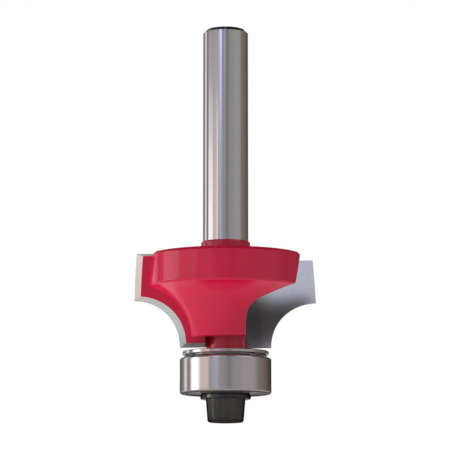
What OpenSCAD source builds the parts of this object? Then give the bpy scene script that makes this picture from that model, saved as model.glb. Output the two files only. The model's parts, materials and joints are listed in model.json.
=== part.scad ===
// Rounding-over router bit with a ball-bearing pilot.
// Z runs along the shank. The origin is at the centre of the pilot screw's lower face.
// The cutter turns clockwise seen from the shank end.

/* [Shank] */
// Diameter of the shank that the collet grips
shank_d = 6.35; // [5.5:0.05:8]
// Length of the bare shank above its collar
shank_l = 30.2; // [24:0.1:45]
// Chamfer on the shank's end
shank_chamfer = 0.5; // [0.3:0.1:0.8]
// Diameter of the collar at the foot of the shank
collar_d = 6.85; // [6.6:0.05:8.2]
// Height of the collar above the disc
collar_h = 2; // [1.5:0.1:3]

/* [Cutting form] */
// Radius that the bit rounds an edge to
round_r = 6.35; // [5:0.05:8]
// Height of the cutting edges
cut_h = 12.7; // [12:0.1:18]

/* [Turned head] */
// How far the cutting edge stands out past the disc
disc_inset = 1.4; // [1:0.05:2]
// Chamfer round the top of the disc
disc_chamfer = 0.4; // [0.2:0.05:0.8]
// Height of the disc's lower rim above the outer corner of the cutting edge
rim_rise = 1.94; // [1.5:0.02:2.5]
// Rounding of the disc's lower rim
rim_round = 0.35; // [0.2:0.05:0.5]
// How far the foot of the hollow fairing stays inside the pilot diameter
foot_inset = 0.96; // [0.6:0.02:1.4]
// Height of the fairing's foot above the lower end of the cutting edges
foot_rise = 1.27; // [0.9:0.01:1.8]
// Rounding of the fairing's foot
foot_round = 0.2; // [0.1:0.05:0.3]
// Depth of the fairing's hollow below a straight cone
hollow = 1.22; // [0.8:0.02:1.6]
// Width of the neck's shoulder round the bearing stud
shoulder_w = 0.35; // [0.25:0.05:0.6]
// Length of the neck below the cutting edges
neck_below = 0.5; // [0.4:0.05:1]

/* [Wings and gullets] */
// Angle between the cutting edges and the shank, in degrees
shear = 16.6; // [12:0.1:20]
// Angle that a tip's face is turned from square to the gullet's floor, in degrees
face_turn = 7.6; // [4:0.1:11]
// How far behind the bit's axis the face passes, level with the lower end of the edges
face_set = 1.14; // [0.8:0.01:1.5]
// How far before the bit's axis the gullet's front wall passes at that level
front_set = 8.5; // [7.5:0.1:9.5]
// Rounding between the gullet's floor and its front wall
gullet_round = 2.1; // [1:0.1:2.5]

/* [Carbide tips] */
// Thickness of a tip
tip_t = 1.6; // [1.2:0.05:1.8]
// How far the back of a tip is ground in from its cutting outline
relief = 0.5; // [0.3:0.05:0.7]
// How far the back of a tip is set towards the axis besides
side_relief = 0.45; // [0.2:0.05:0.6]

/* [Pilot bearing] */
// Outside diameter of the bearing
bearing_od = 12.7; // [11:0.05:15]
// Bore of the bearing
bearing_bore = 4.7625; // [4:0.0125:5.6]
// Width of the bearing
bearing_w = 4.978; // [4.4:0.002:6]
// Diameter of a ball
ball_d = 2.381; // [2:0.001:2.6]
// Rounding of the outer ring's edges
ring_round = 0.3; // [0.1:0.05:0.4]
// Thickness of the shields' sheet steel
shield_t = 0.2; // [0.15:0.01:0.25]
// Thickness of the cage's strip steel
cage_t = 0.2; // [0.15:0.01:0.25]
// Shank diameter of the rivets that join the cage's halves
rivet_d = 0.4; // [0.3:0.05:0.45]

/* [Washers and screw] */
// How far the dust washer's rim stays inside the bearing's
dust_inset = 0.35; // [0.2:0.05:0.6]
// Thickness of the dust washer's flange
dust_t = 0.75; // [0.6:0.05:1]
// Bevel under the flange's rim
dust_bevel = 0.3; // [0.1:0.05:0.4]
// Height of the boss that spaces the flange from the bearing
dust_boss_h = 0.2; // [0.15:0.05:0.4]
// Diameter of the clamp washer under the bearing
clamp_d = 7; // [6.6:0.1:8]
// Thickness of the clamp washer
clamp_t = 0.7; // [0.5:0.05:1]
// Thread diameter of the pilot screw
screw_d = 3; // [2.5:0.1:3]
// Length of the pilot screw under its head
screw_l = 8; // [7:0.5:9]
// Diameter of the screw's head where it meets the washer
head_d = 5.5; // [5:0.1:6.5]
// Diameter of the screw's head at its lower end
head_end_d = 5.05; // [4.6:0.05:6]
// Height of the screw's head
head_h = 3.2; // [2.8:0.1:4]
// Rounding of the screw's lower edge
head_round = 0.4; // [0.2:0.05:0.6]
// Width across the flats of the hex socket
socket_w = 2.5; // [2:0.1:2.5]
// Depth of the hex socket
socket_h = 1.5; // [1.2:0.1:1.8]

/* [Hidden] */
$fn = 96;
ball_count = 7;

// Clearances: round the stud, the screw's thread and the rivets, between balls and races,
// round a ball in its cage, from the cage to the lands, from a shield's lip to the inner ring,
// round the screw in the washers, from the gullet's floor to the neck, and from boss to shield
slide_fit = 0.01;
ball_fit = 0.012;
pocket_fit = 0.06;
land_fit = 0.3;
shield_gap = 0.08;
washer_fit = 0.1;
floor_fit = 0.05;
boss_fit = 0.15;

// Set-backs: of a shield's face in the bearing, and of the stud's end behind the washer
shield_sink = 0.12;
stud_short = 0.2;

// Heights along the axis, from the screw's lower face up
clamp_z = head_h;
bearing_z = clamp_z + clamp_t;
bearing_mid_z = bearing_z + bearing_w / 2;
dust_z = bearing_z + bearing_w;
shoulder_z = dust_z + dust_boss_h + dust_t;
edge_z = shoulder_z + neck_below;

// Radii of the turned head
pilot_r = bearing_od / 2;
cut_r = pilot_r + round_r;
disc_r = cut_r - disc_inset;
foot_r = pilot_r - foot_inset;
neck_r = bearing_bore / 2 + shoulder_w;
stud_r = bearing_bore / 2 - slide_fit;
collar_r = collar_d / 2;
collar_round = 0.25;
floor_x = neck_r + floor_fit;

// Heights of the turned head, from the lower end of the cutting edges up
disc_lift = 0.15;
rim_h = round_r + rim_rise;
disc_h = cut_h + disc_lift;
shank_end_h = disc_h + collar_h + shank_l;

// The hollow fairing is one arc through its foot and the disc's lower rim
foot = [foot_r, foot_rise];
rim = [disc_r, rim_h];
half_chord = norm(rim - foot) / 2;
fairing_r = (half_chord * half_chord + hollow * hollow) / (2 * hollow);
chord_dir = (rim - foot) / norm(rim - foot);
fairing_c = (rim + foot) / 2 + [chord_dir[1], -chord_dir[0]] * (fairing_r - hollow);

// Slopes of a tip's face: along the axis and across it
lean = tan(shear);
turn = tan(face_turn);
square_to_face = sqrt(1 + lean * lean + turn * turn);

// Run-out of the gullets up to the collar
runout_h = 4.25;
runout_low_r = neck_r - floor_fit;
runout_in = collar_r - runout_low_r;
runout_r = (runout_h * runout_h + runout_in * runout_in) / (2 * runout_in);

// Raceways, lands and shield seats of the bearing
race_over_ball = 1.04;
land_share = 0.76;
inner_step = 0.12;
seat_step = 0.24;
shield_seat_h = 0.6;
bore_chamfer = 0.12;
pitch_r = (bearing_od + bearing_bore) / 4;
ball_r = ball_d / 2;
race_r = ball_r * race_over_ball;
inner_land_r = pitch_r - ball_r * land_share;
outer_land_r = pitch_r + ball_r * land_share;
inner_step_r = inner_land_r - inner_step;
shield_seat_r = outer_land_r + seat_step;

// Bend of a shield's sheet, and the width of its flat rim inside the outer land
shield_bend = 0.12;
shield_flat = 0.1;

// Heads of the cage's rivets: width beyond the shank, and height
rivet_rim = 0.14;
rivet_head_h = 0.12;

// Bolt stud, threaded hole and drill point
stud_chamfer = 0.2;
hole_past_screw = 1.2;
drill_slope = 31;
screw_tip = 0.3;

// Small bevels that break the washers' edges
dust_edge = 0.1;
clamp_edge = 0.08;

// How far a cut overshoots a free face, and how many times past a rounded corner it reaches
overcut = 1;
past_corner = 1.3;

// Outline of the cutting edge
arc_steps = 36;
side_steps = 4;

// Reach of a gullet's cut, well past the disc
far = 20;

// Height of a tip's face above the XZ plane, at z above the lower end of the cutting edges
function face_y(x, z) = face_set - turn * x + lean * z;

// Where the face lies at a given radius from the axis
function face_x(r, z) =
    let (k = face_set + lean * z, m = 1 + turn * turn)
    (turn * k + sqrt(m * r * r - k * k)) / m;

// Radius and height along the cutting edge, drawn in by a given amount:
// up the quarter round, then straight up the side
function edge_outline(inset) =
    let (
        r = round_r + inset,
        low = asin(inset / r),
        high = acos(inset / r),
        top = cut_h - inset,
        corner_h = r * sin(high)
    )
    concat(
        [for (i = [0 : arc_steps])
            let (a = low + (high - low) * i / arc_steps)
            [cut_r - r * cos(a), r * sin(a)]],
        [for (i = [1 : side_steps])
            [cut_r - inset, corner_h + (top - corner_h) * i / side_steps]]
    );

// A tip is lofted from its lower end to its top through four-cornered rings:
// two corners on the face, and two on the back, which is drawn in for clearance
module tip() {
    front = edge_outline(0);
    back = edge_outline(relief);
    depth = tip_t * square_to_face;
    last = len(front) - 1;
    points = [for (i = [0 : last])
        let (
            zf = front[i][1],
            zb = back[i][1],
            xf = face_x(front[i][0], zf),
            xb = face_x(back[i][0], zb) - side_relief
        )
        each [
            [floor_x, face_y(floor_x, zf), zf],
            [xf, face_y(xf, zf), zf],
            [xb, face_y(xb, zb) + depth, zb],
            [floor_x, face_y(floor_x, zb) + depth, zb]
        ]];
    sides = [for (i = [0 : last - 1], j = [0 : 3])
        let (a = 4 * i + j, b = 4 * i + (j + 1) % 4)
        each [[a, a + 4, b], [b, a + 4, b + 4]]];
    ends = [[0, 1, 2], [0, 2, 3],
            [4 * last, 4 * last + 2, 4 * last + 1], [4 * last, 4 * last + 3, 4 * last + 2]];
    translate([0, 0, edge_z]) polyhedron(points, concat(sides, ends), convexity = 4);
}

// Waste at a corner between the fairing's arc and a straight side of the section.
// The rounding's centre lies a radius inside both, and side points from it to the straight side
module corner_waste(centre, radius, side, corner) {
    to_arc = (fairing_c - centre) / norm(fairing_c - centre);
    difference() {
        polygon([centre, centre + past_corner * radius * side,
                 centre + past_corner * (corner - centre), centre + past_corner * radius * to_arc]);
        translate(centre) circle(radius);
    }
}

// Half section of the disc, its hollow fairing and the neck
module head_section() {
    rim_x = disc_r - rim_round;
    rim_up = sqrt(pow(fairing_r + rim_round, 2) - pow(fairing_c[0] - rim_x, 2));
    foot_y = foot_rise + foot_round;
    foot_in = sqrt(pow(fairing_r + foot_round, 2) - pow(foot_y - fairing_c[1], 2));
    difference() {
        polygon([[0, -neck_below], [neck_r, -neck_below], [neck_r, foot_rise], [disc_r, foot_rise],
                 [disc_r, disc_h - disc_chamfer], [disc_r - disc_chamfer, disc_h], [0, disc_h]]);
        translate(fairing_c) circle(fairing_r, $fn = 240);
        corner_waste([rim_x, fairing_c[1] + rim_up], rim_round, [1, 0], rim);
        corner_waste([fairing_c[0] - foot_in, foot_y], foot_round, [0, -1], foot);
    }
}

// Half section of the shank, its collar and the run-out that the gullets leave round them
module shank_section() {
    low = disc_h - runout_h;
    collar_top = disc_h + collar_h;
    difference() {
        polygon([[0, low], [collar_r, low], [collar_r, collar_top - collar_round],
                 [collar_r - collar_round, collar_top - collar_round],
                 [collar_r - collar_round, collar_top], [0, collar_top]]);
        translate([runout_low_r + runout_r, low]) circle(runout_r, $fn = 240);
    }
    translate([collar_r - collar_round, collar_top - collar_round]) circle(collar_round);
    polygon([[0, disc_h], [shank_d / 2, disc_h],
             [shank_d / 2, shank_end_h - shank_chamfer],
             [shank_d / 2 - shank_chamfer, shank_end_h], [0, shank_end_h]]);
}

// Section of a gullet and the tip's pocket behind it, square to the leaning cutting edge
module gullet_section() {
    back = face_set + tip_t * square_to_face;
    front_y = -front_set * cos(shear);
    round_c = [floor_x + gullet_round, front_y + gullet_round];
    polygon([[floor_x, (back - turn * floor_x) * cos(shear)],
             [far, (back - turn * far) * cos(shear)],
             [far, front_y], [round_c[0], front_y], round_c, [floor_x, round_c[1]]]);
    translate(round_c) circle(gullet_round);
}

// One gullet, milled along the lean of the cutting edge
module gullet() {
    rotate([-shear, 0, 0])
        translate([0, 0, -far / 2])
            linear_extrude(2 * far) gullet_section();
}

// Threaded hole for the pilot screw, with its drill point
module screw_hole() {
    hole_r = screw_d / 2 + slide_fit;
    hole_top_z = clamp_z + screw_l + hole_past_screw;
    translate([0, 0, -overcut]) cylinder(r = hole_r, h = hole_top_z + overcut);
    translate([0, 0, hole_top_z]) cylinder(r1 = hole_r, r2 = 0, h = hole_r * tan(drill_slope));
}

// Stud that carries the bearing, chamfered at its end
module bearing_stud() {
    stud_z = bearing_z + stud_short;
    translate([0, 0, stud_z]) cylinder(r1 = stud_r - stud_chamfer, r2 = stud_r, h = stud_chamfer);
    translate([0, 0, stud_z + stud_chamfer]) cylinder(r = stud_r, h = edge_z - stud_z - stud_chamfer);
}

// Turned and milled steel body: shank, collar, disc, fairing, neck and bearing stud
module cutter_body() {
    color([0.72, 0.15, 0.25]) difference() {
        union() {
            translate([0, 0, edge_z]) difference() {
                rotate_extrude() head_section();
                for (side = [0, 180]) rotate([0, 0, side]) gullet();
            }
            translate([0, 0, edge_z]) rotate_extrude() shank_section();
            bearing_stud();
        }
        screw_hole();
    }
}

// Carbide tip, brazed into the pocket behind a gullet
module carbide_tip(side) {
    color([0.66, 0.67, 0.71]) rotate([0, 0, side]) tip();
}

// Dust washer: its boss meets only the bearing's inner ring
module dust_washer() {
    inner = stud_r + washer_fit;
    boss_r = inner_step_r - boss_fit;
    rim_r = pilot_r - dust_inset;
    low = dust_boss_h;
    high = dust_boss_h + dust_t;
    color([0.75, 0.74, 0.73]) translate([0, 0, dust_z])
        rotate_extrude() polygon([[inner, 0], [boss_r, 0], [boss_r, low], [rim_r - dust_bevel, low],
                                  [rim_r, low + dust_bevel], [rim_r, high - dust_edge],
                                  [rim_r - dust_edge, high], [inner, high]]);
}

// Inner ring of the bearing, with its ball groove and a step for each shield
module bearing_inner_ring() {
    half = bearing_w / 2;
    step_h = shield_seat_h;
    bore_r = bearing_bore / 2;
    color([0.7, 0.69, 0.68]) translate([0, 0, bearing_mid_z]) rotate_extrude() difference() {
        polygon([[bore_r, -half + bore_chamfer], [bore_r + bore_chamfer, -half],
                 [inner_step_r, -half], [inner_step_r, -half + step_h],
                 [inner_land_r, -half + step_h], [inner_land_r, half - step_h],
                 [inner_step_r, half - step_h], [inner_step_r, half],
                 [bore_r + bore_chamfer, half], [bore_r, half - bore_chamfer]]);
        translate([pitch_r - ball_fit - ball_r + race_r, 0]) circle(race_r);
    }
}

// Outer ring of the bearing: the rim that runs along the work
module bearing_outer_ring() {
    half = bearing_w / 2;
    seat_h = shield_seat_h;
    edge = min(ring_round, (pilot_r - shield_seat_r) / 2);
    round_in = pilot_r - edge;
    color([0.7, 0.69, 0.68]) translate([0, 0, bearing_mid_z]) rotate_extrude() {
        difference() {
            polygon([[shield_seat_r, -half], [round_in, -half], [round_in, -half + edge],
                     [pilot_r, -half + edge], [pilot_r, half - edge],
                     [round_in, half - edge], [round_in, half], [shield_seat_r, half],
                     [shield_seat_r, half - seat_h], [outer_land_r, half - seat_h],
                     [outer_land_r, -half + seat_h], [shield_seat_r, -half + seat_h]]);
            translate([pitch_r + ball_fit + ball_r - race_r, 0]) circle(race_r);
        }
        for (end = [-1, 1]) translate([round_in, end * (half - edge)]) circle(edge);
    }
}

// One ball in its place on the pitch circle
module ball(number) {
    color([0.8, 0.8, 0.82]) rotate([0, 0, 360 / ball_count * (number - 1)])
        translate([pitch_r, 0, bearing_mid_z]) sphere(ball_r);
}

// Places its child midway between each ball and the next
module between_balls() {
    for (i = [1 : ball_count]) rotate([0, 0, 360 / ball_count * (i - 0.5)])
        translate([pitch_r, 0, 0]) children();
}

// Half of the ribbon cage, pressed from strip with a cup over each ball
module cage_half() {
    cup_r = ball_r + pocket_fit;
    in_r = inner_land_r + land_fit;
    out_r = outer_land_r - land_fit;
    difference() {
        intersection() {
            union() {
                rotate_extrude() translate([in_r, 0]) square([out_r - in_r, cage_t]);
                for (i = [1 : ball_count]) rotate([0, 0, 360 / ball_count * (i - 1)])
                    translate([pitch_r, 0, 0]) sphere(cup_r + cage_t);
            }
            rotate_extrude() translate([in_r, 0]) square([out_r - in_r, ball_d]);
        }
        for (i = [1 : ball_count]) rotate([0, 0, 360 / ball_count * (i - 1)])
            translate([pitch_r, 0, 0]) sphere(cup_r);
        between_balls() cylinder(d = rivet_d + 2 * slide_fit, h = 3 * cage_t, center = true);
    }
}

module cage_upper_half() {
    color([0.62, 0.6, 0.56]) translate([0, 0, bearing_mid_z]) cage_half();
}

module cage_lower_half() {
    color([0.62, 0.6, 0.56]) translate([0, 0, bearing_mid_z]) rotate([180, 0, 0]) cage_half();
}

// Rivets that join the cage's halves, one between each ball and the next
module cage_rivets() {
    grip = 2 * cage_t;
    head_r = rivet_d / 2 + rivet_rim;
    color([0.7, 0.68, 0.63]) translate([0, 0, bearing_mid_z]) between_balls() {
        cylinder(d = rivet_d, h = grip, center = true);
        for (end = [-1, 1]) translate([0, 0, end * (grip + rivet_head_h) / 2])
            cylinder(r = head_r, h = rivet_head_h, center = true);
    }
}

// Pressed shield: its curled rim sits in the outer ring and its lip clears the inner one
module shield() {
    lip_r = inner_step_r + shield_gap;
    top = bearing_w / 2 - shield_sink;
    low = bearing_w / 2 - shield_seat_h;
    step_r = outer_land_r - shield_flat;
    bend = shield_bend;
    rotate_extrude() polygon([
        [lip_r, top - bend - shield_t], [step_r - bend, top - bend - shield_t],
        [step_r, top - shield_t], [shield_seat_r - shield_t, top - shield_t],
        [shield_seat_r - shield_t, low], [shield_seat_r, low], [shield_seat_r, top],
        [step_r - bend, top], [step_r - 2 * bend, top - bend], [lip_r, top - bend]]);
}

module bearing_shield_upper() {
    color([0.6, 0.6, 0.6]) translate([0, 0, bearing_mid_z]) shield();
}

module bearing_shield_lower() {
    color([0.6, 0.6, 0.6]) translate([0, 0, bearing_mid_z]) rotate([180, 0, 0]) shield();
}

// Black washer that clamps the bearing's inner ring
module clamp_washer() {
    inner = screw_d / 2 + washer_fit;
    edge = clamp_edge;
    color([0.2, 0.19, 0.19]) translate([0, 0, clamp_z])
        rotate_extrude() polygon([[inner, 0], [clamp_d / 2 - edge, 0], [clamp_d / 2, edge],
                                  [clamp_d / 2, clamp_t - edge], [clamp_d / 2 - edge, clamp_t],
                                  [inner, clamp_t]]);
}

// Half section of the pilot screw: tapered head, rounded lower edge and threaded shank
module screw_section() {
    low_r = head_end_d / 2;
    thread_r = screw_d / 2;
    end_z = clamp_z + screw_l;
    polygon([[0, 0], [low_r - head_round, 0], [low_r, head_round], [head_d / 2, head_h],
             [thread_r, head_h], [thread_r, end_z - screw_tip],
             [thread_r - screw_tip, end_z], [0, end_z]]);
    translate([low_r - head_round, head_round]) circle(head_round);
}

// Socket-head screw that holds the bearing on its stud
module pilot_screw() {
    color([0.2, 0.19, 0.18]) difference() {
        rotate_extrude() screw_section();
        translate([0, 0, -overcut])
            cylinder(d = socket_w / cos(30), h = socket_h + overcut, $fn = 6);
    }
}

cutter_body();
carbide_tip(0);  // carbide_tip_1
carbide_tip(180);  // carbide_tip_2
dust_washer();
bearing_inner_ring();
bearing_outer_ring();
ball(1);  // ball_1
ball(2);  // ball_2
ball(3);  // ball_3
ball(4);  // ball_4
ball(5);  // ball_5
ball(6);  // ball_6
ball(7);  // ball_7
cage_upper_half();
cage_lower_half();
cage_rivets();
bearing_shield_upper();
bearing_shield_lower();
clamp_washer();
pilot_screw();
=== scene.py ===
import json
import math
import bpy
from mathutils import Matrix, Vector

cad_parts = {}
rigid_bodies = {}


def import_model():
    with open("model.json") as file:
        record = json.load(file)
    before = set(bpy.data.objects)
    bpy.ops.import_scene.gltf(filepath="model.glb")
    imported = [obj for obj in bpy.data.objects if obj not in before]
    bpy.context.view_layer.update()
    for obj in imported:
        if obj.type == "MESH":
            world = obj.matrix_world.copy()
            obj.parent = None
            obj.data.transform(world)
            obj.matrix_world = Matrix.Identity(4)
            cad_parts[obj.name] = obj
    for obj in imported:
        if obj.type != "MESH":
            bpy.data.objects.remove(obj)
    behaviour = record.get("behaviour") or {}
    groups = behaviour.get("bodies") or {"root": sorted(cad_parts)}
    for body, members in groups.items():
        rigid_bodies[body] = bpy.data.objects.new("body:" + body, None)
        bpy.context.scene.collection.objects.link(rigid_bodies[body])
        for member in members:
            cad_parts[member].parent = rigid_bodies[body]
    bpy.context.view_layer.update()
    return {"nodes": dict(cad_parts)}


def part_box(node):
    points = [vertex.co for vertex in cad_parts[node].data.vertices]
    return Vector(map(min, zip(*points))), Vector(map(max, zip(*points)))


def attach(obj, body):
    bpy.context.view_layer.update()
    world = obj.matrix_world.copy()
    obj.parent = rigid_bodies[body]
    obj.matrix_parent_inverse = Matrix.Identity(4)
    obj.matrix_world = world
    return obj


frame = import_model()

# Camera. It stands a little below the foot of the bit and looks up along its front, from about
# thirty centimetres, so that the undersides of the disc and the bearing show.
camera_tilt = math.radians(8.352)
camera_data = bpy.data.cameras.new("camera")
camera_data.sensor_width = 36
camera_data.lens = 181.4
camera_data.clip_start = 0.01
camera = bpy.data.objects.new("camera", camera_data)
camera.location = (-0.00008, -0.3137, -0.01848)
camera.rotation_euler = (math.pi / 2 + camera_tilt, 0, 0)
bpy.context.scene.collection.objects.link(camera)
bpy.context.scene.camera = camera
bpy.context.scene.view_settings.view_transform = "Standard"


# Cutter body. One bar of tool steel, turned and milled. The head is sprayed with red enamel and
# baked, from the collar down to the neck; the shank above it and the stud under it stay bare,
# the shank ground between centres to fit a collet.
def linear(code):
    """The linear colour that a shader takes for an sRGB hex code."""
    parts = [int(code[i:i + 2], 16) / 255 for i in (1, 3, 5)]
    return [c / 12.92 if c <= 0.04045 else ((c + 0.055) / 1.055) ** 2.4 for c in parts] + [1]


def add_node(tree, kind, inputs=None, ramp=(), **settings):
    """Adds a node with its settings and links, and the places and colours of its ramp."""
    node = tree.nodes.new("ShaderNode" + kind)
    for name, value in settings.items():
        setattr(node, name, value)
    for socket, value in (inputs or {}).items():
        if isinstance(value, bpy.types.NodeSocket):
            tree.links.new(value, node.inputs[socket])
        else:
            node.inputs[socket].default_value = value
    for number, (position, colour) in enumerate(ramp):
        stops = node.color_ramp.elements
        stop = stops[number] if number < 2 else stops.new(position)
        stop.position = position
        stop.color = colour
    return node


def new_material(name):
    """An empty material and its node tree."""
    material = bpy.data.materials.new(name)
    material.use_nodes = True
    material.node_tree.nodes.clear()
    return material, material.node_tree


def give(material, *nodes):
    """Puts a material on CAD nodes."""
    for name in nodes:
        for slot in frame["nodes"][name].material_slots:
            slot.material = material


shank_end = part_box("cutter_body")[1][2]
collar_top = 0.02516            # upper end of the enamel
collar_foot = 0.0232            # just above the disc's top face
disc_top = 0.02315              # just below it
neck_foot = 0.00985             # shoulder of the neck, lower end of the enamel
edge_foot = 0.010328            # lower end of the cutting edges
shear = math.radians(16.6)      # lean of the gullets and tips along the bit
face_turn = math.radians(7.6)   # how far the tips' faces are turned from the radius
lean = math.tan(shear)
turn = math.tan(face_turn)
gullet_floor = 0.00278          # to the side of the bit's axis
gullet_wall = -0.00815          # in front of the axis, level with the edges' foot
gullet_round = 0.0021           # between floor and wall
pocket_back = 0.0027            # how far behind the axis a tip's pocket reaches
hair = 0.00003                  # how far off a face still counts as on it
ring_spacing = 0.00016          # grinding rings, ten times coarser than real ones, which wouldn't show
peel_size = 0.00143             # dimples of the sprayed enamel
cloud_size = 0.00625            # patches where the enamel is a little thinner
feed_spacing = 0.00025          # marks that the end mill leaves along the gullets
facing_spacing = 0.0002         # rings that the lathe leaves on the shank's end

# Baked enamel is glossy and deep red, with faint dimples. Ground steel mirrors the room in upright
# bands with fine rings across them, and the milled gullets and the faced end are darker or duller
enamelled, tree = new_material("red_enamel_on_ground_tool_steel")
place = add_node(tree, "TexCoord").outputs["Object"]
axes = add_node(tree, "SeparateXYZ", {"Vector": place}).outputs
height = axes["Z"]
below_top = add_node(tree, "Math", {0: height, 1: collar_top}, operation="LESS_THAN").outputs[0]
above_foot = add_node(tree, "Math", {0: height, 1: neck_foot}, operation="GREATER_THAN").outputs[0]
on_head = add_node(tree, "Math", {0: below_top, 1: above_foot}, operation="MULTIPLY").outputs[0]
# A point on the second half of the head is turned round the axis onto the first, which is like it
side = add_node(tree, "Math", {0: axes["X"]}, operation="SIGN").outputs[0]
out = add_node(tree, "Math", {0: axes["X"]}, operation="ABSOLUTE").outputs[0]
forth = add_node(tree, "Math", {0: axes["Y"], 1: side}, operation="MULTIPLY").outputs[0]
on_half = add_node(tree, "CombineXYZ", {0: out, 1: forth, 2: height}).outputs[0]
# The gullets are milled after the painting, to one section square to their lean: a floor, a rounded
# corner and a front wall. How far a point lies outside that section tells whether it is milled
across = add_node(tree, "VectorMath", {0: on_half, 1: (0, math.cos(shear), -math.sin(shear))},
                  operation="DOT_PRODUCT").outputs["Value"]
across = add_node(tree, "Math", {0: across, 1: edge_foot * math.sin(shear)}, operation="ADD").outputs[0]
past_floor = add_node(tree, "Math", {0: gullet_floor + gullet_round, 1: out},
                      operation="SUBTRACT").outputs[0]
past_wall = add_node(tree, "Math", {0: gullet_wall + gullet_round, 1: across},
                     operation="SUBTRACT").outputs[0]
corner = add_node(tree, "CombineXYZ", {0: past_floor, 1: past_wall}).outputs[0]
corner = add_node(tree, "VectorMath", {0: corner, 1: (0, 0, 0)}, operation="MAXIMUM").outputs[0]
outside = add_node(tree, "VectorMath", {0: corner}, operation="LENGTH").outputs["Value"]
milled = add_node(tree, "Math", {0: outside, 1: gullet_round + hair}, operation="LESS_THAN").outputs[0]
behind = add_node(tree, "VectorMath", {0: on_half, 1: (turn, 1, -lean)},
                  operation="DOT_PRODUCT").outputs["Value"]
before_pocket = add_node(tree, "Math", {0: behind, 1: pocket_back - lean * edge_foot},
                         operation="LESS_THAN").outputs[0]
milled = add_node(tree, "Math", {0: milled, 1: before_pocket}, operation="MULTIPLY").outputs[0]
in_disc = add_node(tree, "Math", {0: height, 1: disc_top}, operation="LESS_THAN").outputs[0]
milled = add_node(tree, "Math", {0: milled, 1: in_disc}, operation="MULTIPLY").outputs[0]
unmilled = add_node(tree, "Math", {0: 1.0, 1: milled}, operation="SUBTRACT").outputs[0]
painted = add_node(tree, "Math", {0: on_head, 1: unmilled}, operation="MULTIPLY").outputs[0]
bare = add_node(tree, "Math", {0: 1.0, 1: painted}, operation="SUBTRACT").outputs[0]
# The grinding wheel leaves rings: a noise that changes only along the shank
along_shank = add_node(tree, "Mapping", {"Vector": place, "Scale": (0, 0, 1)}).outputs[0]
rings = add_node(tree, "TexNoise", {"Vector": along_shank, "Scale": 1 / ring_spacing, "Detail": 4,
                                    "Roughness": 0.7}).outputs["Fac"]
ground_tone = add_node(tree, "ValToRGB", {"Fac": rings},
                       ramp=[(0.3, linear("#C2BFBE")), (0.7, linear("#CBC8C7"))]).outputs[0]
ground_rough = add_node(tree, "MapRange", {"Value": rings, "To Min": 0.07, "To Max": 0.12}).outputs[0]
# The end mill leaves feed marks that run along the gullets, 25 times as long as they are wide
along_gullet = add_node(tree, "VectorMath", {0: on_half, 1: (0, math.sin(shear), math.cos(shear))},
                        operation="DOT_PRODUCT").outputs["Value"]
along_gullet = add_node(tree, "Math", {0: along_gullet, 1: 0.04}, operation="MULTIPLY").outputs[0]
stretched = add_node(tree, "CombineXYZ", {0: out, 1: across, 2: along_gullet}).outputs[0]
feed = add_node(tree, "TexNoise", {"Vector": stretched, "Scale": 1 / feed_spacing,
                                   "Detail": 2}).outputs["Fac"]
milled_rough = add_node(tree, "MapRange", {"Value": feed, "To Min": 0.20, "To Max": 0.34}).outputs[0]
# The shank's end is faced on the lathe, in rings round its centre
flat = add_node(tree, "CombineXYZ", {0: out, 1: forth}).outputs[0]
from_axis = add_node(tree, "VectorMath", {0: flat}, operation="LENGTH").outputs["Value"]
facing = add_node(tree, "TexNoise", {"W": from_axis, "Scale": 1 / facing_spacing, "Detail": 1},
                  noise_dimensions="1D").outputs["Fac"]
faced_rough = add_node(tree, "MapRange", {"Value": facing, "To Min": 0.42, "To Max": 0.55}).outputs[0]
faced = add_node(tree, "Math", {0: height, 1: shank_end - hair}, operation="GREATER_THAN").outputs[0]
# The enamel has a faint orange peel and varies a little with its thickness. On the collar its red is
# painted darker, as painted shade
peel = add_node(tree, "TexNoise", {"Vector": place, "Scale": 1 / peel_size, "Detail": 1,
                                   "Roughness": 0.3}).outputs["Fac"]
cloud = add_node(tree, "TexNoise", {"Vector": place, "Scale": 1 / cloud_size, "Detail": 3}).outputs["Fac"]
red = add_node(tree, "ValToRGB", {"Fac": cloud},
               ramp=[(0.35, linear("#D61842")), (0.65, linear("#DB1A46"))]).outputs[0]
# Painted shade: a darker red on the collar
shaded_collar = add_node(tree, "Math", {0: height, 1: collar_foot}, operation="GREATER_THAN").outputs[0]
red = add_node(tree, "Mix", {"Factor": shaded_collar, "A": red, "B": linear("#C6173D")},
               data_type="RGBA").outputs["Result"]
enamel_rough = add_node(tree, "MapRange", {"Value": peel, "To Min": 0.12, "To Max": 0.17}).outputs[0]
steel = add_node(tree, "Mix", {"Factor": milled, "A": ground_tone, "B": linear("#8E8B8A")},
                 data_type="RGBA").outputs["Result"]
colour = add_node(tree, "Mix", {"Factor": painted, "A": steel, "B": red},
                  data_type="RGBA").outputs["Result"]
rough = add_node(tree, "Mix", {"Factor": milled, "A": ground_rough, "B": milled_rough}).outputs[0]
rough = add_node(tree, "Mix", {"Factor": faced, "A": rough, "B": faced_rough}).outputs[0]
rough = add_node(tree, "Mix", {"Factor": painted, "A": rough, "B": enamel_rough}).outputs[0]
relief = add_node(tree, "Mix", {"Factor": milled, "A": rings, "B": feed}).outputs[0]
relief = add_node(tree, "Mix", {"Factor": faced, "A": relief, "B": facing}).outputs[0]
relief = add_node(tree, "Mix", {"Factor": painted, "A": relief, "B": peel}).outputs[0]
bump = add_node(tree, "Bump", {"Height": relief, "Strength": 0.05, "Distance": 0.00001}).outputs[0]
skin = add_node(tree, "BsdfPrincipled", {"Base Color": colour, "Metallic": bare, "Roughness": rough,
                                         "Normal": bump}).outputs[0]
add_node(tree, "OutputMaterial", {"Surface": skin})
give(enamelled, "cutter_body")

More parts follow.
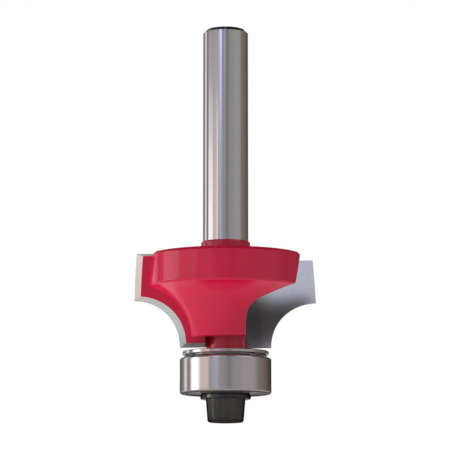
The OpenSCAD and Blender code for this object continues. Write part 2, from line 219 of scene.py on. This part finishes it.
# Carbide tips. Plates of sintered tungsten carbide, brazed into their pockets and then ground with
# a diamond wheel on the face and all along the edge. Their backs are enamelled with the head.
back_depth = 0.00152            # the back starts here, just short of the thickness of 1.6 mm
face_set = 0.00114              # how far behind the axis the face passes, level with the edges' foot
round_end = 0.0165              # where the quarter round ends
land_start = 0.0169             # where the straight edge has begun
streak_spacing = 0.000154       # grinding streaks, a few times coarser than real ones, so that they show
grit_size = 0.000143            # grains on the round, coarser than real ones too

# Diamond-ground carbide is silvery and half matt, with fine streaks along the bit. The narrow ground edge
# is painted nearly white, as painted light, and tinted as painted reflections of the lamps: cool on the
# round, warm on the straight
ground_carbide, tree = new_material("ground_tungsten_carbide")
place = add_node(tree, "TexCoord").outputs["Object"]
# A point on the second tip is turned onto the first. Its depth is measured back from the tip's face
axes = add_node(tree, "SeparateXYZ", {"Vector": place}).outputs
side = add_node(tree, "Math", {0: axes["X"]}, operation="SIGN").outputs[0]
half_turn = add_node(tree, "CombineXYZ", {0: side, 1: side, 2: 1.0}).outputs[0]
on_tip = add_node(tree, "VectorMath", {0: place, 1: half_turn}, operation="MULTIPLY").outputs[0]
tip_axes = add_node(tree, "SeparateXYZ", {"Vector": on_tip}).outputs
face_normal = Vector((turn, 1, -lean))
face_depth = (face_set - lean * edge_foot) / face_normal.length
depth = add_node(tree, "VectorMath", {0: on_tip, 1: face_normal.normalized()},
                 operation="DOT_PRODUCT").outputs["Value"]
back = add_node(tree, "Math", {0: depth, 1: face_depth + back_depth}, operation="GREATER_THAN").outputs[0]
flank = add_node(tree, "Math", {0: depth, 1: face_depth + hair}, operation="GREATER_THAN").outputs[0]
# The plates' lower ends, which are painted dark as painted shade
shaded_end = add_node(tree, "Math", {0: tip_axes["Z"], 1: edge_foot + hair}, operation="LESS_THAN").outputs[0]
bare = add_node(tree, "Math", {0: 1.0, 1: back}, operation="SUBTRACT").outputs[0]
# The wheel's streaks run along the bit, 50 times as long as they are wide
along_bit = add_node(tree, "Math", {0: tip_axes["Z"], 1: 0.02}, operation="MULTIPLY").outputs[0]
stretched = add_node(tree, "CombineXYZ", {0: tip_axes["X"], 1: depth, 2: along_bit}).outputs[0]
streaks = add_node(tree, "TexNoise", {"Vector": stretched, "Scale": 1 / streak_spacing,
                                      "Detail": 1}).outputs["Fac"]
face_tone = add_node(tree, "ValToRGB", {"Fac": streaks},
                     ramp=[(0.3, linear("#C2C3C8")), (0.7, linear("#CDCDD2"))]).outputs[0]
# The ground edge is grainy where it is round, and smooth above that; its painted reflection turns from
# cool on the round to warm above
grit = add_node(tree, "TexNoise", {"Vector": place, "Scale": 1 / grit_size, "Detail": 2}).outputs["Fac"]
round_tone = add_node(tree, "ValToRGB", {"Fac": grit},
                      ramp=[(0.35, linear("#B4BCBA")), (0.65, linear("#DDE3E1"))]).outputs[0]
land_warm_reflection = add_node(tree, "MapRange", {"Value": tip_axes["Z"], "From Min": round_end,
                                      "From Max": land_start}).outputs[0]
lit_flank_tone = add_node(tree, "Mix", {"Factor": land_warm_reflection, "A": round_tone, "B": linear("#E2DBD2")},
                      data_type="RGBA").outputs["Result"]
colour = add_node(tree, "Mix", {"Factor": flank, "A": face_tone, "B": lit_flank_tone},
                  data_type="RGBA").outputs["Result"]
# The plates' lower ends are painted dark, as painted shade; the backs are red
colour = add_node(tree, "Mix", {"Factor": shaded_end, "A": colour, "B": linear("#4A4647")},
                  data_type="RGBA").outputs["Result"]
colour = add_node(tree, "Mix", {"Factor": back, "A": colour, "B": linear("#CC1741")},
                  data_type="RGBA").outputs["Result"]
rough = add_node(tree, "MapRange", {"Value": streaks, "To Min": 0.26, "To Max": 0.33}).outputs[0]
rough = add_node(tree, "Mix", {"Factor": back, "A": rough, "B": 0.2}).outputs[0]
relief = add_node(tree, "Math", {0: streaks, 1: bare}, operation="MULTIPLY").outputs[0]
bump = add_node(tree, "Bump", {"Height": relief, "Strength": 0.02, "Distance": 0.00001}).outputs[0]
skin = add_node(tree, "BsdfPrincipled", {"Base Color": colour, "Metallic": bare, "Roughness": rough,
                                         "Specular Tint": linear("#CDCDCD"),
                                         "Normal": bump}).outputs[0]
add_node(tree, "OutputMaterial", {"Surface": skin})
give(ground_carbide, "carbide_tip_1", "carbide_tip_2")

# Braze. Where a tip's inner end stands beside the neck, the silver solder that ran out of the joint
# forms a small fillet, painted over with the head.
braze_radius = 0.00022
braze_round = 0.00006
braze_x, braze_y = 0.00268, 0.00125
braze_foot, braze_top = 0.01036, 0.01165
bpy.ops.object.select_all(action="DESELECT")
bpy.ops.mesh.primitive_cylinder_add(vertices=20, radius=braze_radius, depth=braze_top - braze_foot,
                                    location=(braze_x, braze_y, (braze_foot + braze_top) / 2))
braze = bpy.context.object
braze.name = "braze_fillet_1"
bpy.ops.object.transform_apply(location=True, rotation=True, scale=True)
bpy.ops.object.mode_set(mode="EDIT")
bpy.ops.mesh.select_all(action="SELECT")
bpy.ops.mesh.bevel(offset=braze_round, segments=3, affect="EDGES")
bpy.ops.object.mode_set(mode="OBJECT")
bpy.ops.object.shade_smooth()
bpy.ops.object.select_all(action="DESELECT")
braze.select_set(True)
bpy.ops.object.duplicate(linked=False)
braze_2 = bpy.context.object
braze_2.name = "braze_fillet_2"
bpy.context.view_layer.objects.active = braze_2
braze_2.rotation_euler.z = math.pi
bpy.ops.object.transform_apply(location=False, rotation=True, scale=False)
for fillet in (braze, braze_2):
    fillet.data.materials.clear()
    fillet.data.materials.append(enamelled)
    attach(fillet, "cutter")

# Dust washer. Turned from bright steel bar, with a bevelled rim, and clamped between the shoulder of
# the neck and the bearing's inner ring.
groove_spacing = 0.000167       # turning marks, a few times coarser than real ones

# Bright turned steel mirrors what is round it, broken by fine rings
turned, tree = new_material("turned_bright_steel")
place = add_node(tree, "TexCoord").outputs["Object"]
axes = add_node(tree, "SeparateXYZ", {"Vector": place}).outputs
flat = add_node(tree, "CombineXYZ", {0: axes["X"], 1: axes["Y"]}).outputs[0]
from_axis = add_node(tree, "VectorMath", {0: flat}, operation="LENGTH").outputs["Value"]
grooves = add_node(tree, "TexNoise", {"W": from_axis, "Scale": 1 / groove_spacing, "Detail": 2},
                   noise_dimensions="1D").outputs["Fac"]
colour = add_node(tree, "ValToRGB", {"Fac": grooves},
                  ramp=[(0, linear("#BDBAB8")), (1, linear("#CFCCCA"))]).outputs[0]
rough = add_node(tree, "MapRange", {"Value": grooves, "To Min": 0.10, "To Max": 0.16}).outputs[0]
skin = add_node(tree, "BsdfPrincipled", {"Base Color": colour, "Metallic": 1.0,
                                         "Roughness": rough}).outputs[0]
add_node(tree, "OutputMaterial", {"Surface": skin})
give(turned, "dust_washer")

# Bearing rings. Chrome steel, hardened; the inner one is clamped on the stud and the outer one turns
# round it. The outer rim is honed, and the sides are ground only.
ring_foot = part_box("bearing_outer_ring")[0][2]
side_depth = 0.00014            # the lower side, with the start of its rounding
hone_spacing = 0.000111         # honing lines, ten times coarser than real ones, which wouldn't show

# Honed steel is bright with a soft sheen, and has fine lines round it. The lower sides are duller, and
# painted darker as painted shade
honed, tree = new_material("honed_bearing_steel")
place = add_node(tree, "TexCoord").outputs["Object"]
height = add_node(tree, "SeparateXYZ", {"Vector": place}).outputs["Z"]
along_axis = add_node(tree, "Mapping", {"Vector": place, "Scale": (0, 0, 1)}).outputs[0]
lines = add_node(tree, "TexNoise", {"Vector": along_axis, "Scale": 1 / hone_spacing,
                                    "Detail": 3}).outputs["Fac"]
honed_tone = add_node(tree, "ValToRGB", {"Fac": lines},
                      ramp=[(0, linear("#BEBBBA")), (1, linear("#CCC9C8"))]).outputs[0]
honed_rough = add_node(tree, "MapRange", {"Value": lines, "To Min": 0.13, "To Max": 0.19}).outputs[0]
# Painted shade: the lower side is coloured darker
above_shaded_side = add_node(tree, "Math", {0: height, 1: ring_foot + side_depth},
                      operation="GREATER_THAN").outputs[0]
colour = add_node(tree, "Mix", {"Factor": above_shaded_side, "A": linear("#726F6E"), "B": honed_tone},
                  data_type="RGBA").outputs["Result"]
rough = add_node(tree, "Mix", {"Factor": above_shaded_side, "A": 0.3, "B": honed_rough}).outputs[0]
skin = add_node(tree, "BsdfPrincipled", {"Base Color": colour, "Metallic": 1.0, "Roughness": rough,
                                         "Specular Tint": linear("#BDBBBA")}).outputs[0]
add_node(tree, "OutputMaterial", {"Surface": skin})
give(honed, "bearing_inner_ring", "bearing_outer_ring")

# Balls. Seven of chrome steel, hardened, ground and lapped; they roll between the rings, in the
# cage's cups.
haze_size = 0.0004              # patches where the polish is a little less

# Lapped steel is a sharp mirror
polished, tree = new_material("polished_ball_steel")
place = add_node(tree, "TexCoord").outputs["Object"]
haze = add_node(tree, "TexNoise", {"Vector": place, "Scale": 1 / haze_size, "Detail": 2}).outputs["Fac"]
colour = add_node(tree, "ValToRGB", {"Fac": haze},
                  ramp=[(0, linear("#D0D0D2")), (1, linear("#D6D6D8"))]).outputs[0]
rough = add_node(tree, "MapRange", {"Value": haze, "To Min": 0.04, "To Max": 0.07}).outputs[0]
skin = add_node(tree, "BsdfPrincipled", {"Base Color": colour, "Metallic": 1.0,
                                         "Roughness": rough}).outputs[0]
add_node(tree, "OutputMaterial", {"Surface": skin})
give(polished, *[f"ball_{n}" for n in range(1, 8)])

# Cage and shields. Pressed from cold-rolled strip. The cage's halves are riveted together round the
# balls, and the shields are crimped into the outer ring.
rolling_spacing = 0.0002        # lines that the rolls leave along the strip

# Rolled strip is a duller, warmer grey than ground steel, with faint lines
pressed, tree = new_material("pressed_bright_strip")
place = add_node(tree, "TexCoord").outputs["Object"]
along_strip = add_node(tree, "Mapping", {"Vector": place, "Scale": (0.1, 1, 1)}).outputs[0]
lines = add_node(tree, "TexNoise", {"Vector": along_strip, "Scale": 1 / rolling_spacing,
                                    "Detail": 2}).outputs["Fac"]
colour = add_node(tree, "ValToRGB", {"Fac": lines},
                  ramp=[(0, linear("#78756F")), (1, linear("#84817B"))]).outputs[0]
rough = add_node(tree, "MapRange", {"Value": lines, "To Min": 0.26, "To Max": 0.36}).outputs[0]
skin = add_node(tree, "BsdfPrincipled", {"Base Color": colour, "Metallic": 1.0,
                                         "Roughness": rough}).outputs[0]
add_node(tree, "OutputMaterial", {"Surface": skin})
give(pressed, *[name for name in frame["nodes"] if name.startswith(("cage", "bearing_shield"))])

# Clamp washer and pilot screw. Steel, blackened in hot salts and oiled. The screw goes up into the
# stud and presses the washer against the bearing's inner ring.
drawing_spacing = 0.000455      # lines that stay from the drawing of the wire
mottle_size = 0.000143          # crystals of the oxide, far coarser than real ones, so that they show

# Black oxide under oil is a brownish black that still mirrors as metal does, weakly
blackened, tree = new_material("black_oxide_on_steel")
place = add_node(tree, "TexCoord").outputs["Object"]
stretched = add_node(tree, "Mapping", {"Vector": place, "Scale": (1, 1, 0.04)}).outputs[0]
drawn = add_node(tree, "TexNoise", {"Vector": stretched, "Scale": 1 / drawing_spacing,
                                    "Detail": 2}).outputs["Fac"]
colour = add_node(tree, "ValToRGB", {"Fac": drawn},
                  ramp=[(0.3, linear("#474644")), (0.7, linear("#565552"))]).outputs[0]
mottle = add_node(tree, "TexNoise", {"Vector": place, "Scale": 1 / mottle_size,
                                     "Detail": 1}).outputs["Fac"]
rough = add_node(tree, "MapRange", {"Value": mottle, "To Min": 0.16, "To Max": 0.20}).outputs[0]
skin = add_node(tree, "BsdfPrincipled", {"Base Color": colour, "Metallic": 1.0, "Roughness": rough,
                                         "Specular Tint": linear("#A0A0A0")}).outputs[0]
add_node(tree, "OutputMaterial", {"Surface": skin})
give(blackened, "clamp_washer", "pilot_screw")

# Floor. A table of opal acrylic, lit a little from below, as used to photograph small goods. It is
# pale, takes the bit's shadow, and lets through what the lamps under its edge send up. The
# photograph looks up from under the table's edge, so from below it isn't drawn.
table_width = 3
table_glow = 0.42
mirrored_share = 0.33           # the part of its glow that the metal mirrors
bpy.ops.object.select_all(action="DESELECT")
bpy.ops.mesh.primitive_plane_add(size=table_width, location=(0, 0, 0))
table = bpy.context.object
table.name = "table"
opal, tree = new_material("opal_acrylic_table")
ray = add_node(tree, "LightPath").outputs
sheet = add_node(tree, "BsdfDiffuse", {"Color": linear("#F0F0F0")}).outputs[0]
# The camera sees its glow in full. Mirrors and glass see a third of it, since the real bit hung
# free and its undersides mirror a darker room
mirrored = add_node(tree, "Math", {0: ray["Is Glossy Ray"], 1: ray["Is Transmission Ray"]},
                    operation="MAXIMUM").outputs[0]
mirrored = add_node(tree, "Math", {0: mirrored, 1: mirrored_share}, operation="MULTIPLY").outputs[0]
seen = add_node(tree, "Math", {0: ray["Is Camera Ray"], 1: mirrored}, operation="MAXIMUM").outputs[0]
glow_level = add_node(tree, "Math", {0: seen, 1: table_glow}, operation="MULTIPLY").outputs[0]
glow = add_node(tree, "Emission", {"Color": linear("#FFFFFF"), "Strength": glow_level}).outputs[0]
lit = add_node(tree, "AddShader", {0: sheet, 1: glow}).outputs[0]
clear = add_node(tree, "BsdfTransparent").outputs[0]
from_below = add_node(tree, "NewGeometry").outputs["Backfacing"]
passes = add_node(tree, "Math", {0: from_below, 1: ray["Is Shadow Ray"]}, operation="MAXIMUM").outputs[0]
one_sided = add_node(tree, "MixShader", {0: passes, 1: lit, 2: clear}).outputs[0]
add_node(tree, "OutputMaterial", {"Surface": one_sided})
table.data.materials.append(opal)

# Studio. A white room to the camera. The metal mirrors a grey one, whose walls change in tone round
# the compass, 0 towards the camera and minus to the left; it is white behind the bit, and dark
# overhead. Tones of light are given as linear values, 1 being white.
wall_tones = [(-180, (1, 1, 1)), (-174, (1, 1, 1)), (-171, (0.24, 0.24, 0.27)),
              (-142, (0.35, 0.35, 0.37)), (-134, (0.44, 0.43, 0.43)), (-108, (0.30, 0.27, 0.28)),
              (-100, (0.36, 0.34, 0.36)), (-60, (0.36, 0.34, 0.36)), (-38, (0.46, 0.45, 0.49)),
              (-24, (0.64, 0.65, 0.76)), (-14, (0.44, 0.42, 0.48)), (-2, (0.40, 0.38, 0.42)),
              (9, (0.28, 0.27, 0.28)), (20, (0.42, 0.42, 0.43)), (34, (0.43, 0.42, 0.43)),
              (45, (0.50, 0.47, 0.50)), (78, (0.48, 0.46, 0.47)), (88, (0.31, 0.28, 0.26)),
              (115, (0.25, 0.20, 0.18)), (140, (0.15, 0.12, 0.11)), (171, (0.10, 0.09, 0.08)),
              (174, (1, 1, 1))]
dim_from, dim_to = 0.35, 0.85   # how steeply a direction points up, 1 being straight up
overhead = 0.12                 # brightness above that, as a part of the walls'
world = bpy.data.worlds.new("studio")
bpy.context.scene.world = world
world.use_nodes = True
tree = world.node_tree
tree.nodes.clear()
direction = add_node(tree, "TexCoord").outputs["Generated"]
heading = add_node(tree, "SeparateXYZ", {"Vector": direction}).outputs
ahead = add_node(tree, "Math", {0: heading["Y"], 1: -1.0}, operation="MULTIPLY").outputs[0]
compass = add_node(tree, "Math", {0: heading["X"], 1: ahead}, operation="ARCTAN2").outputs[0]
around = add_node(tree, "MapRange", {"Value": compass, "From Min": -math.pi,
                                     "From Max": math.pi}).outputs[0]
walls = add_node(tree, "ValToRGB", {"Fac": around},
                 ramp=[((angle + 180) / 360, (*tone, 1)) for angle, tone in wall_tones]).outputs[0]
level = add_node(tree, "MapRange", {"Value": heading["Z"], "From Min": dim_from, "From Max": dim_to,
                                    "To Min": 1.0, "To Max": overhead},
                 interpolation_type="SMOOTHSTEP").outputs[0]
room = add_node(tree, "VectorMath", {0: walls, "Scale": level}, operation="SCALE").outputs[0]
by_camera = add_node(tree, "LightPath").outputs["Is Camera Ray"]
shown = add_node(tree, "Mix", {"Factor": by_camera, "A": room, "B": linear("#FFFFFF")},
                 data_type="RGBA").outputs["Result"]
sky = add_node(tree, "Background", {"Color": shown, "Strength": 1.0}).outputs[0]
add_node(tree, "OutputWorld", {"Surface": sky})

# Lamps. Soft boxes stand round the bit where its metal and enamel mirror bright bands. They are
# shielded from the table and light the bit only; those that stand under the table shine through it.
box_distance = 0.5
ceiling_height = 1.6
ceiling_width = 2.4
bit = bpy.data.collections.new("bit")
for piece in bpy.context.scene.objects:
    if piece.type == "MESH" and piece != table:
        bit.objects.link(piece)


def soft_box(name, stand, aim, width, height, tint, brightness):
    """A soft box of the brightness given, 1 being white, that the camera doesn't see."""
    lamp = bpy.data.lights.new(name, "AREA")
    lamp.shape = "RECTANGLE"
    lamp.size = width
    lamp.size_y = height
    lamp.color = tint
    lamp.energy = math.pi * brightness * width * height
    box = bpy.data.objects.new(name, lamp)
    box.location = stand
    box.rotation_euler = (Vector(aim) - Vector(stand)).to_track_quat("-Z", "Y").to_euler()
    box.visible_camera = False
    box.light_linking.receiver_collection = bit
    bpy.context.scene.collection.objects.link(box)
    return box


# Upright boxes, by compass direction and width. Each is a stack of panels between the heights given,
# with a brightness each, so that their images on the shank and the head fade in or out
for name, compass_deg, width, tint, heights, brightnesses in [
        ("key_box", -82.7, 0.263, (1.0, 0.96, 1.0), (-0.35, 0.11, 0.13, 0.15, 0.175),
         (1.3, 1.1, 0.65, 0.26)),
        ("warm_box", -55, 0.21, (1.0, 0.75, 0.60), (-0.35, 0.12), (0.6,)),
        ("warm_upper_box", -55, 0.21, (1.0, 0.77, 0.64), (0.12, 0.145, 0.165, 0.25), (0.48, 0.3, 0.2)),
        ("rear_box", -120, 0.12, (1.0, 0.86, 0.87), (-0.35, 0.13, 0.155, 0.30), (1.0, 0.95, 0.9)),
        ("cool_box", -24.5, 0.09, (0.38, 0.50, 1.0), (0.136, 0.165), (0.65,)),
        ("cool_upper_box", -24.5, 0.09, (0.50, 0.66, 1.0), (0.165, 0.50), (1.1,)),
        ("cool_side_box", -35, 0.09, (0.55, 0.63, 1.0), (0.10, 0.35), (0.3,)),
        ("cool_front_box", -4, 0.09, (0.42, 0.55, 1.0), (0.115, 0.155), (0.1,)),
        ("cool_front_upper_box", -4, 0.09, (0.42, 0.57, 1.0), (0.155, 0.35), (0.25,)),
        ("violet_box", -42.5, 0.05, (0.85, 0.76, 1.0), (0.085, 0.145), (0.85,)),
        ("upper_soft_box", -18, 0.30, (0.94, 0.95, 1.0), (0.33, 0.65), (0.75,)),
        ("key_low_box", -83, 0.12, (0.95, 0.95, 1.0), (-0.07, 0.045), (4,)),
        ("rear_bulb", -123, 0.03, (1.0, 0.93, 0.93), (-0.11, -0.05), (12,))]:
    angle = math.radians(compass_deg)
    for panel, brightness in enumerate(brightnesses):
        foot, top = heights[panel:panel + 2]
        middle = (foot + top) / 2
        soft_box(f"{name}_{panel + 1}",
                 (box_distance * math.sin(angle), -box_distance * math.cos(angle), middle),
                 (0, 0, middle), width, top - foot, tint, brightness)
soft_box("low_soft_box", (-0.24, -0.12, -0.46), (0, 0, 0.01), 0.5, 0.5, (1.0, 0.97, 0.98), 2.9)
soft_box("high_soft_box", (0.33, -0.19, 0.42), (0, 0, 0.02), 0.35, 0.35, (1.0, 0.98, 0.98), 0.8)
# An oval light pad lies on the table behind the bit at the left, facing up
pad = soft_box("light_pad", (-0.051, 0.022, 0.0003), (-0.051, 0.022, 1), 0.08, 0.048,
               (1.0, 0.98, 0.97), 0.25)
pad.data.shape = "ELLIPSE"
# A wide, even ceiling light that the metal doesn't mirror: dim on the bit, stronger on the table
ceiling_light = soft_box("ceiling_light", (0, 0, ceiling_height), (0, 0, 0), ceiling_width,
                         ceiling_width, (1.0, 1.0, 1.0), 0.3)
ceiling_light.visible_glossy = False
table_light = soft_box("table_light", (0, 0, ceiling_height), (0, 0, 0), ceiling_width,
                       ceiling_width, (1.0, 1.0, 1.0), 0.7)
table_light.visible_glossy = False
table_only = bpy.data.collections.new("table_only")
table_only.objects.link(table)
table_light.light_linking.receiver_collection = table_only
